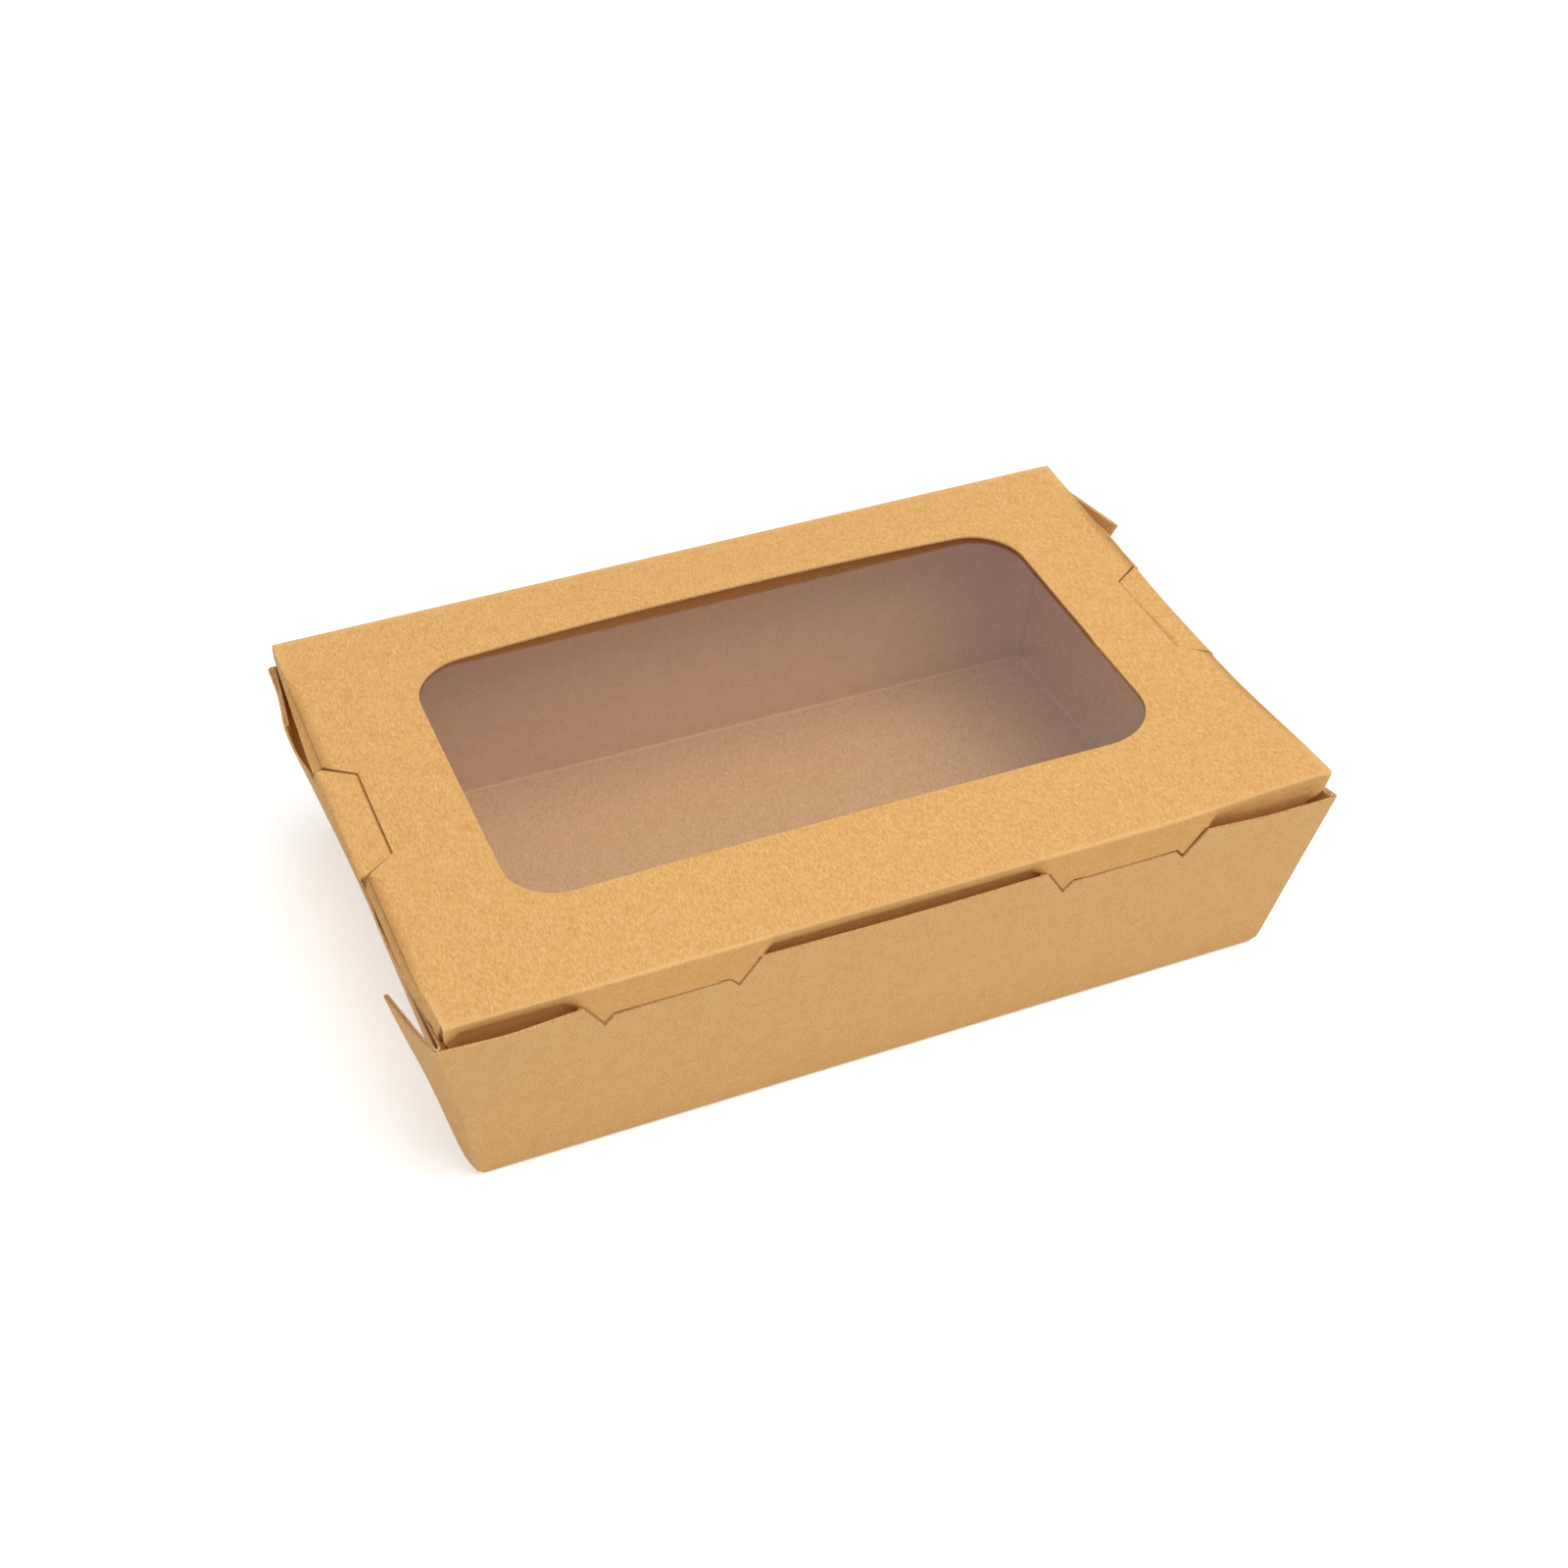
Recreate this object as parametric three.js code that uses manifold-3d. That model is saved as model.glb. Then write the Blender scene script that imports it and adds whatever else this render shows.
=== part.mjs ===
// Kraft lunch box with a windowed lid.
// One die-cut board blank folds into the tray and its lid. A clear film is glued under the lid's window.
// Millimetres, +Z up. The long side runs along X, the front wall faces -Y, and the lid hinges along the back at +Y.
import * as THREE from 'three';
import { mergeVertices } from 'three/addons/utils/BufferGeometryUtils.js';
import Module from 'manifold-3d';

// Tray
const baseLength = 166;
const baseDepth = 105;
const rimLength = 182.6;
const rimDepth = 118.8;
const rimHeight = 43;
const board = 0.45;
const foldRadius = 0.9;

// Lid: its top stands above the rim by lidRise
const lidRise = 5;
const lidHeight = rimHeight + lidRise;
const lidSideInset = 2.3;
const lidSag = 2;
const lipDepth = 11;
const lipTaper = 4;
const lidCornerGap = 1.2;

// Window
const windowLength = 135;
const windowDepth = 75.5;
const windowRadius = 11;
const windowShiftX = 0.9;
const windowShiftY = 3;
const filmMargin = 6;
const filmThickness = 0.15;

// Front locks: two tongues of the lid fill notches in the front wall
const frontLockSpacing = 92;
const frontNotchWidth = 34.4;
const frontHookWidth = 26;
const frontShelfWidth = 22.4;
const frontNotchDepth = 7;
const frontShelfDepth = 4.7;
const frontTipDepth = 10;

// Side locks: a tongue of each end wall fills a notch in the lid
const sideLockWidth = 33;
const sideSlitWidth = 24.6;
const sideSlitInset = 6.3;
const sideTipLength = 5;

// Webbed corners, folded double against the end walls and sprung out a little
const frontWebCrease = 39.5;
const backWebCrease = 48;
const frontWebSpring = 8;
const backWebSpring = 7;

// How far each end wall's rim stands out (+) or is drawn in (-), from the front corner to the back one
const rimPinch = 1.8;
const rimBulge = 0.8;
const rimBow = [[-1, 0], [-0.5, -rimPinch], [0, -0.65 * rimPinch], [0.3, 0], [0.65, rimBulge], [1, 0]];

// Gap between parts that touch, and the curve steps
const clearance = 0.3;
const seam = 0.04;
const foldSteps = 3;
const windowSteps = 4;

const outside = 400;
const kraftTray = new THREE.MeshStandardMaterial({ color: '#c49a62', roughness: 0.85, metalness: 0 });
const kraftLid = new THREE.MeshStandardMaterial({ color: '#d3a468', roughness: 0.85, metalness: 0 });
const clearFilm = new THREE.MeshStandardMaterial({
  color: '#e8eef0', roughness: 0.08, metalness: 0, transparent: true, opacity: 0.3,
});

const wasm = await Module();
wasm.setup();

// The outer faces of the walls at a height: half the length and half the depth of the box there
const halfLength = (z) => (baseLength + (rimLength - baseLength) * z / rimHeight) / 2;
const halfDepth = (z) => (baseDepth + (rimDepth - baseDepth) * z / rimHeight) / 2;
const lidHalfLength = halfLength(lidHeight) - lidSideInset;
const lidHalfDepth = halfDepth(lidHeight);

// Closed meshes and solids

function toSolid(geometry) {
  const merged = mergeVertices(stripped(geometry), 1e-4);
  const corners = merged.index.array;
  const triVerts = [];
  for (let i = 0; i < corners.length; i += 3) {
    const [a, b, c] = corners.slice(i, i + 3);
    if (a !== b && b !== c && c !== a) triVerts.push(a, b, c);
  }
  return new wasm.Manifold(new wasm.Mesh({
    numProp: 3,
    vertProperties: Float32Array.from(merged.attributes.position.array),
    triVerts: Uint32Array.from(triVerts),
  }));
}

function toGeometry(solid) {
  const mesh = solid.getMesh();
  const geometry = new THREE.BufferGeometry();
  geometry.setAttribute('position', new THREE.BufferAttribute(Float32Array.from(mesh.vertProperties), 3));
  geometry.setIndex(Array.from(mesh.triVerts));
  return geometry;
}

function turnedInsideOut(geometry) {
  const corners = geometry.index.array;
  for (let i = 0; i < corners.length; i += 3) [corners[i], corners[i + 1]] = [corners[i + 1], corners[i]];
  return geometry;
}

const mirroredX = (geometry) => turnedInsideOut(geometry.clone().scale(-1, 1, 1));

function stripped(geometry) {
  const bare = geometry.clone();
  bare.deleteAttribute('normal');
  bare.deleteAttribute('uv');
  return bare;
}

// Adds vertices where a mesh crosses the planes axis = value, so that it can bend there
function creaseAlong(geometry, axis, values) {
  let triangles = [];
  const flat = geometry.toNonIndexed().attributes.position;
  for (let i = 0; i < flat.count; i += 3) {
    triangles.push([0, 1, 2].map((k) => new THREE.Vector3().fromBufferAttribute(flat, i + k)));
  }
  for (const value of values) {
    triangles = triangles.flatMap((triangle) => splitTriangle(triangle, axis, value));
  }
  const points = triangles.flat();
  const result = new THREE.BufferGeometry().setFromPoints(points);
  return mergeVertices(result, 1e-4);
}

function splitTriangle(triangle, axis, value) {
  const side = triangle.map((p) => p[axis] - value);
  const near = 1e-4;
  if (side.every((s) => s > -near) || side.every((s) => s < near)) return [triangle];
  const above = [];
  const below = [];
  for (let k = 0; k < 3; k += 1) {
    const [p, q] = [triangle[k], triangle[(k + 1) % 3]];
    const [s, t] = [side[k], side[(k + 1) % 3]];
    if (s >= -near) above.push(p);
    if (s <= near) below.push(p);
    if ((s > near && t < -near) || (s < -near && t > near)) {
      const cut = s < t ? p.clone().lerp(q, s / (s - t)) : q.clone().lerp(p, t / (t - s));
      above.push(cut);
      below.push(cut);
    }
  }
  return [above, below].flatMap((ring) => ring.slice(2).map((p, k) => [ring[0], ring[k + 1], p]));
}

function moved(geometry, shift) {
  const position = geometry.attributes.position;
  const p = new THREE.Vector3();
  for (let i = 0; i < position.count; i += 1) {
    p.fromBufferAttribute(position, i);
    p.add(shift(p));
    position.setXYZ(i, p.x, p.y, p.z);
  }
  return geometry;
}

const steps = (from, to, count) => Array.from({ length: count + 1 }, (_, i) => from + (to - from) * i / count);

// Folded board: a path with rounded folds, given the board's thickness on its inner side

function foldedPath(corners, radius) {
  const path = [corners[0]];
  for (let i = 1; i < corners.length - 1; i += 1) {
    const [before, fold, after] = [corners[i - 1], corners[i], corners[i + 1]];
    const back = before.clone().sub(fold).normalize();
    const on = after.clone().sub(fold).normalize();
    const half = Math.acos(THREE.MathUtils.clamp(back.dot(on), -1, 1)) / 2;
    const reach = Math.min(radius / Math.tan(half), 0.45 * before.distanceTo(fold), 0.45 * after.distanceTo(fold));
    const start = fold.clone().addScaledVector(back, reach);
    const end = fold.clone().addScaledVector(on, reach);
    const centre = fold.clone().addScaledVector(back.clone().add(on).normalize(), reach / Math.cos(half));
    const from = start.clone().sub(centre);
    const turn = Math.atan2(from.cross(end.clone().sub(centre)), from.dot(end.clone().sub(centre)));
    for (const angle of steps(0, turn, foldSteps)) {
      path.push(from.clone().rotateAround(new THREE.Vector2(), angle).add(centre));
    }
  }
  path.push(corners.at(-1));
  return path;
}

function stripPoints(outer, inward) {
  const inner = outer.map((p, i) => {
    const before = p.clone().sub(outer[Math.max(i - 1, 0)]).normalize();
    const after = outer[Math.min(i + 1, outer.length - 1)].clone().sub(p).normalize();
    const along = before.clone().add(after).normalize();
    const normal = new THREE.Vector2(-along.y, along.x).multiplyScalar(inward);
    const mitre = Math.max(along.dot(after.lengthSq() > 0 ? after : before), 0.5);
    return p.clone().addScaledVector(normal, board / mitre);
  });
  return [...outer, ...inner.reverse()];
}

const stripShape = (outer, inward) => new THREE.Shape(stripPoints(outer, inward));

const planeSections = {
  x: [new THREE.Vector3(0, 1, 0), new THREE.Vector3(0, 0, 1), new THREE.Vector3(1, 0, 0)],
  y: [new THREE.Vector3(1, 0, 0), new THREE.Vector3(0, 0, 1), new THREE.Vector3(0, -1, 0)],
  z: [new THREE.Vector3(1, 0, 0), new THREE.Vector3(0, 1, 0), new THREE.Vector3(0, 0, 1)],
};

// A shape drawn across one axis and extruded along it, from one value of that axis to another
function prism(shape, axis, from, to) {
  const depth = Math.abs(to - from);
  const geometry = new THREE.ExtrudeGeometry(shape, { depth, bevelEnabled: false, curveSegments: windowSteps });
  const place = new THREE.Matrix4().makeBasis(...planeSections[axis]);
  const start = axis === 'y' ? Math.max(from, to) : Math.min(from, to);
  geometry.applyMatrix4(place);
  geometry.translate(axis === 'x' ? start : 0, axis === 'y' ? start : 0, axis === 'z' ? start : 0);
  return toSolid(geometry);
}

const polygon = (...points) => new THREE.Shape(points.map(([x, y]) => new THREE.Vector2(x, y)));
const vectors = (...points) => points.map(([x, y]) => new THREE.Vector2(x, y));

// An outline moved in by a distance on every side, corner by corner
function insetOutline(points, distance) {
  return points.map((p, i) => {
    const before = p.clone().sub(points.at(i - 1)).normalize();
    const after = points[(i + 1) % points.length].clone().sub(p).normalize();
    const [m, n] = [new THREE.Vector2(-before.y, before.x), new THREE.Vector2(-after.y, after.x)];
    const reach = distance / (1 + m.dot(n));
    return p.clone().addScaledVector(m.add(n), reach);
  });
}

// The front wall's own frame: X along the wall, Y up its slope from the rim, Z out of its outer face
const frontLean = Math.atan2((rimDepth - baseDepth) / 2, rimHeight);
const frontFrame = new THREE.Matrix4()
  .makeBasis(
    new THREE.Vector3(1, 0, 0),
    new THREE.Vector3(0, -Math.sin(frontLean), Math.cos(frontLean)),
    new THREE.Vector3(0, -Math.cos(frontLean), -Math.sin(frontLean)),
  )
  .setPosition(0, -halfDepth(rimHeight), rimHeight);

function onFrontWall(shape, innerFace, outerFace) {
  const geometry = new THREE.ExtrudeGeometry(shape, { depth: outerFace - innerFace, bevelEnabled: false });
  return toSolid(geometry.translate(0, 0, innerFace).applyMatrix4(frontFrame));
}

// The notch cut for one front tongue: it opens at the rim, and a shelf with a hook at each end closes it
function frontNotchOutline(centre, top) {
  return [
    [-frontNotchWidth / 2, 0], [-frontHookWidth / 2, -frontNotchDepth], [-frontShelfWidth / 2, -frontShelfDepth],
    [frontShelfWidth / 2, -frontShelfDepth], [frontHookWidth / 2, -frontNotchDepth], [frontNotchWidth / 2, 0],
    [frontNotchWidth / 2, top], [-frontNotchWidth / 2, top],
  ].map(([x, y]) => new THREE.Vector2(centre + x, y));
}
const frontLocks = [-frontLockSpacing / 2, frontLockSpacing / 2];

// How far the lid has sunk at a point: nothing along its front and back creases, most at the side locks
function lidDrop(x, y) {
  const across = Math.cos(Math.PI * THREE.MathUtils.clamp(y / lidHalfDepth, -1, 1) / 2);
  return lidSag * across * Math.min(Math.abs(x) / lidHalfLength, 1) ** 3;
}

const rimCurve = new THREE.CatmullRomCurve3(rimBow.map(([y, x]) => new THREE.Vector3(x, y, 0)), false, 'centripetal')
  .getPoints(48);

// How far an end wall's outer face stands out at a place along it, growing from nothing at the floor
function wallBow(y, z) {
  const place = THREE.MathUtils.clamp(y / halfDepth(rimHeight), -1, 1);
  const next = Math.max(rimCurve.findIndex((p) => p.y >= place), 1);
  const [a, b] = [rimCurve[next - 1], rimCurve[next]];
  const atRim = a.x + (b.x - a.x) * (place - a.y) / (b.y - a.y);
  return atRim * THREE.MathUtils.clamp(z / rimHeight, 0, 1) ** 1.5;
}

// Places round the box where its walls are drawn, each with the height of the wall's edge there
const lockStations = steps(-sideLockWidth / 2, sideLockWidth / 2, 4);
const besideLock = steps(sideLockWidth / 2, baseDepth / 2 - 3 * foldRadius, 5).slice(1);
const endStations = [...besideLock.map((y) => -y).reverse(), ...lockStations, ...besideLock]
  .map((y) => ({ y, top: rimHeight }));
const frontStations = frontLocks.flatMap((centre) => frontNotchOutline(centre, 0).slice(0, 6))
  .map((p) => ({ x: p.x, top: rimHeight + p.y * Math.cos(frontLean) }));
const backTop = lidHeight - board - clearance;
const backEnd = baseLength / 2 - 3 * foldRadius;
const backStations = [backEnd, 0, -backEnd].map((x) => ({ x, top: backTop }));

// One ring of points round the box, with the board's face moved in by inset
function ring(heightOf, inset) {
  const corner = (sx, sy, from) => {
    const z = heightOf(rimHeight);
    const radius = Math.max(foldRadius - inset, foldRadius / 5);
    return steps(from, from + 90, foldSteps).map((angle) => {
      const turn = THREE.MathUtils.degToRad(angle);
      const x = sx * (halfLength(z) - inset - radius) + radius * Math.cos(turn);
      return new THREE.Vector3(x, sy * (halfDepth(z) - inset - radius) + radius * Math.sin(turn), z);
    });
  };
  const end = (side) => endStations.map(({ y, top }) => {
    const z = heightOf(top);
    return new THREE.Vector3(side * (halfLength(z) - inset + wallBow(y, z)), y, z);
  });
  const long = (side, stations) => stations.map(({ x, top }) => {
    const z = heightOf(top);
    return new THREE.Vector3(x, side * (halfDepth(z) - inset), z);
  });
  return [
    ...corner(1, 1, 0), ...long(1, backStations), ...corner(-1, 1, 90), ...end(-1).reverse(),
    ...corner(-1, -1, 180), ...long(-1, frontStations), ...corner(1, -1, 270), ...end(1),
  ];
}

function loft(rings) {
  const count = rings[0].length;
  const points = rings.flat();
  const index = [];
  for (let r = 0; r + 1 < rings.length; r += 1) {
    for (let k = 0; k < count; k += 1) {
      const [a, b] = [r * count + k, r * count + (k + 1) % count];
      index.push(a, b, a + count, b, b + count, a + count);
    }
  }
  const last = (rings.length - 1) * count;
  const middle = points.length;
  for (let k = 0; k < count; k += 1) {
    index.push(middle, (k + 1) % count, k);
    index.push(middle + 1, last + k, last + (k + 1) % count);
  }
  const centres = [rings[0], rings.at(-1)].map((r) => new THREE.Vector3(0, 0, r[0].z));
  const geometry = new THREE.BufferGeometry().setFromPoints([...points, ...centres]);
  geometry.setIndex(index);
  return geometry;
}

function traySides() {
  const bend = steps(0, 90, foldSteps).map(THREE.MathUtils.degToRad);
  const innerRadius = foldRadius - board;
  const outer = bend.map((a) => ring(() => foldRadius * (1 - Math.cos(a)), foldRadius * (1 - Math.sin(a))));
  const inner = bend.map((a) => {
    const rise = board + innerRadius * (1 - Math.cos(a));
    return ring(() => rise, board + innerRadius * (1 - Math.sin(a)));
  });
  const walls = (inset) => steps(0, 1, 3).slice(1).map((share) => ring((top) => share * top, inset));
  return toSolid(loft([...outer, ...walls(0), ...walls(board).reverse(), ...inner.reverse()]));
}

// A closed mesh swept through sections with the same number of points, with a flat cap at each end
function sweep(sections, capShape) {
  const count = sections[0].length;
  const index = [];
  for (let r = 0; r + 1 < sections.length; r += 1) {
    for (let k = 0; k < count; k += 1) {
      const [a, b] = [r * count + k, r * count + (k + 1) % count];
      index.push(a, a + count, b, b, a + count, b + count);
    }
  }
  const last = (sections.length - 1) * count;
  for (const [i, j, k] of THREE.ShapeUtils.triangulateShape(capShape, [])) {
    index.push(i, j, k);
    index.push(last + i, last + k, last + j);
  }
  const geometry = new THREE.BufferGeometry().setFromPoints(sections.flat());
  geometry.setIndex(index);
  return geometry;
}

// A side tongue rises from the end wall, bends over the lid's edge and dips under the panel at the slit
function sideTongue() {
  const slit = lidHalfLength - sideSlitInset;
  const [edge, end, tip] = [slit + 2 * clearance, slit + clearance, slit - sideTipLength];
  const under = lidHeight - board - clearance;
  const outlines = lockStations.map((y) => {
    const bend = new THREE.Vector2(halfLength(lidHeight), lidHeight - lidDrop(lidHalfLength, y));
    const low = rimHeight - board / 4;
    const rim = new THREE.Vector2(halfLength(rimHeight) + wallBow(y, rimHeight) + seam, low);
    const onLid = vectors([lidHalfLength, bend.y], [edge, lidHeight - lidDrop(edge, y)]);
    const below = vectors([end, under - lidDrop(end, y)], [tip, under - lidDrop(tip, y)]);
    const path = [...foldedPath([rim, bend, onLid[0]], 1.5 * foldRadius), onLid[1], ...below];
    const outline = stripPoints(path, 1);
    outline.at(-1).set(rim.x - board - 3 * seam, low);
    return outline;
  });
  const sections = outlines.map((outline, i) => outline.map((p) => new THREE.Vector3(p.x, lockStations[i], p.y)));
  const bar = toSolid(sweep(sections, outlines[0]));
  const slope = (sideLockWidth - sideSlitWidth) / 2 / sideSlitInset;
  const [past, tipHalf] = [3 * sideSlitInset, (sideSlitWidth - sideTipLength / 2) / 2];
  const wide = sideSlitWidth / 2 + slope * past;
  const outline = polygon([slit - 2 * sideTipLength, -tipHalf], [slit, -sideSlitWidth / 2], [slit + past, -wide],
    [slit + past, wide], [slit, sideSlitWidth / 2], [slit - 2 * sideTipLength, tipHalf]);
  return bar.intersect(prism(outline, 'z', 0, outside));
}

// A webbed corner: the board between two walls, folded double along its diagonal and laid on the end wall
function webEar(side, creaseLength, spring) {
  const foot = new THREE.Vector3(-halfLength(0), side * halfDepth(0), 0);
  const rim = new THREE.Vector3(-halfLength(rimHeight), side * halfDepth(rimHeight), rimHeight);
  const up = rim.clone().sub(foot);
  const height = up.length();
  up.normalize();
  const lean = Math.atan2((rimLength - baseLength) / 2, rimHeight);
  const wallOut = new THREE.Vector3(-Math.cos(lean), 0, -Math.sin(lean));
  const wallIn = new THREE.Vector3(0, -side, 0).addScaledVector(up, side * up.y).normalize();
  const turn = THREE.MathUtils.degToRad(spring);
  const across = wallIn.clone().multiplyScalar(Math.cos(turn)).addScaledVector(wallOut, Math.sin(turn));
  const out = across.clone().cross(up).multiplyScalar(-side).normalize();

  const leanInFront = Math.atan2((rimLength - baseLength) / 2, rimHeight / Math.cos(frontLean));
  const leanInEnd = Math.atan2((rimDepth - baseDepth) / 2, rimHeight / Math.cos(lean));
  const half = (Math.PI / 2 - leanInFront - leanInEnd) / 2;
  const tip = new THREE.Vector2(creaseLength * Math.sin(half), creaseLength * Math.cos(half));
  const frame = new THREE.Matrix4().makeBasis(across, up, out).setPosition(foot);

  // the two layers pressed together, with the round of the diagonal fold along their edge
  const past = -creaseLength;
  const bend = steps(90, -90, 2 * foldSteps).map(THREE.MathUtils.degToRad);
  const fold = new THREE.Shape([
    new THREE.Vector2(past, board), ...bend.map((a) => new THREE.Vector2(board * Math.cos(a), board * Math.sin(a))),
    new THREE.Vector2(past, -board),
  ]);
  const creaseUp = new THREE.Vector3(Math.sin(half), Math.cos(half), 0);
  const creaseOut = new THREE.Vector3(Math.cos(half), -Math.sin(half), 0);
  const facing = new THREE.Vector3(0, 0, 1);
  const layers = new THREE.ExtrudeGeometry(fold, { depth: 2 * creaseLength, bevelEnabled: false });
  layers.translate(0, 0, -creaseLength)
    .applyMatrix4(new THREE.Matrix4().makeBasis(creaseOut, facing, creaseUp.clone().negate()));

  const beside = new THREE.Vector2(creaseOut.x, creaseOut.y).multiplyScalar(3 * board);
  const root = board / 3;
  const outline = new THREE.Shape([
    new THREE.Vector2(root, 0), new THREE.Vector2(root, height - root), tip, tip.clone().add(beside), beside,
  ]);
  const web = new THREE.ExtrudeGeometry(outline, { depth: 4 * board, bevelEnabled: false });
  web.translate(0, 0, -2 * board);

  // the wall's edge, which turns into the web's outer layer at the corner
  const [near, deep, top] = [board / 4, 3 * board / 4, height - board / 2];
  const elbow = new THREE.ExtrudeGeometry(polygon([near, 2 * foldRadius], [deep, 2 * foldRadius], [deep, top],
    [near, top]), { depth: 1.5 * foldRadius + board / 2, bevelEnabled: false });
  elbow.translate(0, 0, -1.5 * foldRadius);
  const flip = frame.determinant() < 0;
  const place = (geometry) => {
    const placed = mergeVertices(stripped(geometry), 1e-5).applyMatrix4(frame);
    return toSolid(flip ? turnedInsideOut(placed) : placed);
  };
  const ear = place(layers).intersect(place(web)).add(place(elbow));
  const floor = 1.3 * foldRadius;
  return ear.subtract(prism(polygon([-outside, -outside], [outside, -outside], [outside, outside],
    [-outside, outside]), 'z', -outside, floor));
}

function makeTray() {
  let tray = traySides();
  const tongue = sideTongue();
  tray = tray.add(tongue).add(toSolid(mirroredX(toGeometry(tongue))));
  for (const ear of [webEar(-1, frontWebCrease, frontWebSpring), webEar(1, backWebCrease, backWebSpring)]) {
    tray = tray.add(ear).add(toSolid(mirroredX(toGeometry(ear))));
  }
  return toGeometry(tray);
}

// Lid

function roundedWindow(length, depth, radius) {
  const [x, y] = [windowShiftX, windowShiftY];
  const [a, b] = [length / 2, depth / 2];
  const path = new THREE.Shape();
  path.moveTo(x - a + radius, y - b);
  path.lineTo(x + a - radius, y - b);
  path.absarc(x + a - radius, y - b + radius, radius, -Math.PI / 2, 0, false);
  path.lineTo(x + a, y + b - radius);
  path.absarc(x + a - radius, y + b - radius, radius, 0, Math.PI / 2, false);
  path.lineTo(x - a + radius, y + b);
  path.absarc(x - a + radius, y + b - radius, radius, Math.PI / 2, Math.PI, false);
  path.lineTo(x - a, y - b + radius);
  path.absarc(x - a + radius, y - b + radius, radius, Math.PI, 1.5 * Math.PI, false);
  return path;
}

function lidPanel() {
  const x = lidHalfLength - foldRadius;
  const front = -(lidHalfDepth - foldRadius);
  const outline = polygon([-x, front], [x, front], [x, lidHalfDepth], [-x, lidHalfDepth]);
  outline.holes.push(roundedWindow(windowLength, windowDepth, windowRadius));
  return prism(outline, 'z', lidHeight - board, lidHeight);
}

// The front lip leans in behind the front wall's rim, and lies against its inner face below
function frontLip() {
  const low = lidHeight - lipDepth;
  const behind = board + clearance;
  const path = foldedPath(vectors(
    [-(lidHalfDepth - 3 * foldRadius), lidHeight], [-lidHalfDepth, lidHeight],
    [-(halfDepth(rimHeight) - behind), rimHeight], [-(halfDepth(low) - behind - clearance), low],
  ), foldRadius);
  const end = lidHalfLength - foldRadius;
  const taper = polygon([-end, outside], [-end, lidHeight - board], [lipTaper - end, low], [end - lipTaper, low],
    [end, lidHeight - board], [end, outside]);
  let lip = prism(stripShape(path, 1), 'x', -end, end).intersect(prism(taper, 'y', -outside, outside));
  for (const centre of frontLocks) {
    const half = frontNotchWidth / 2;
    const below = polygon([centre - half, -outside], [centre + half, -outside], [centre + half, lidHeight - foldRadius],
      [centre - half, lidHeight - foldRadius]);
    lip = lip.subtract(prism(below, 'y', -outside, outside));
  }
  return lip;
}

// A front tongue lies flush in the wall's notch, and its tip goes behind the shelf
function frontTongue(centre) {
  const slope = (down, depth) => {
    const z = rimHeight - down * Math.cos(frontLean) + depth * Math.sin(frontLean);
    return [-halfDepth(rimHeight) + down * Math.sin(frontLean) + depth * Math.cos(frontLean), z];
  };
  const path = foldedPath(vectors([-(lidHalfDepth - 3 * foldRadius), lidHeight], [-lidHalfDepth, lidHeight],
    slope(frontNotchDepth, 0)), foldRadius);
  const half = frontNotchWidth / 2;
  const flush = prism(stripShape(path, 1), 'x', centre - half, centre + half);
  const outline = insetOutline(frontNotchOutline(centre, 2 * (lidHeight - rimHeight)), clearance);
  const face = flush.intersect(onFrontWall(new THREE.Shape(outline), -outside, outside));
  const behind = board + clearance;
  const start = frontShelfDepth - 4 * clearance;
  const tipPath = vectors(slope(start - board, 0), slope(start, 0), slope(frontShelfDepth - clearance, behind),
    slope(frontTipDepth, behind + clearance));
  const tipHalf = frontShelfWidth / 2 - clearance;
  return face.add(prism(stripShape(tipPath, 1), 'x', centre - tipHalf, centre + tipHalf));
}

// A side lip hangs inside the end wall, in front of the side tongue or behind it
function sideLip(side) {
  const low = lidHeight - lipDepth;
  const inset = board + 2 * clearance + rimPinch;
  const path = foldedPath(vectors(
    [lidHalfLength - 3 * foldRadius, lidHeight], [lidHalfLength, lidHeight],
    [Math.min(halfLength(rimHeight) - inset, lidHalfLength), rimHeight], [halfLength(low) - inset, low],
  ), foldRadius);
  const bar = prism(stripShape(path, -1), 'y', -lidHalfDepth, lidHalfDepth);
  const near = sideLockWidth / 2 + clearance;
  const far = lidHalfDepth - lidCornerGap;
  const nearTaper = side > 0 ? lipTaper : lipTaper / 2;
  const taper = polygon([side * near, outside], [side * near, lidHeight - board], [side * (near + nearTaper), low],
    [side * (far - lipTaper), low], [side * far, lidHeight - board], [side * far, outside]);
  return bar.intersect(prism(taper, 'x', -outside, outside));
}

function sideNotch() {
  const slit = lidHalfLength - sideSlitInset;
  const [wide, narrow] = [sideLockWidth / 2 + clearance, sideSlitWidth / 2 + clearance];
  const outline = polygon([slit, -narrow], [lidHalfLength, -wide], [outside, -wide], [outside, wide],
    [lidHalfLength, wide], [slit, narrow]);
  return prism(outline, 'z', 0, outside);
}

function sunk(geometry) {
  const bends = [0.45, 0.65, 0.8, 0.92].map((share) => share * lidHalfLength);
  let bent = creaseAlong(geometry, 'y', steps(-lidHalfDepth, lidHalfDepth, 8).slice(1, -1));
  bent = creaseAlong(bent, 'x', [...bends, ...bends.map((x) => -x)]);
  return moved(bent, (p) => new THREE.Vector3(0, 0, -lidDrop(p.x, p.y)));
}

function makeLid() {
  const sides = sideLip(-1).add(sideLip(1));
  const notch = sideNotch();
  let lid = lidPanel().add(sides).add(toSolid(mirroredX(toGeometry(sides))));
  lid = lid.subtract(notch).subtract(toSolid(mirroredX(toGeometry(notch))));
  lid = lid.add(frontLip());
  for (const centre of frontLocks) lid = lid.add(frontTongue(centre));
  return sunk(toGeometry(lid));
}

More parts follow.
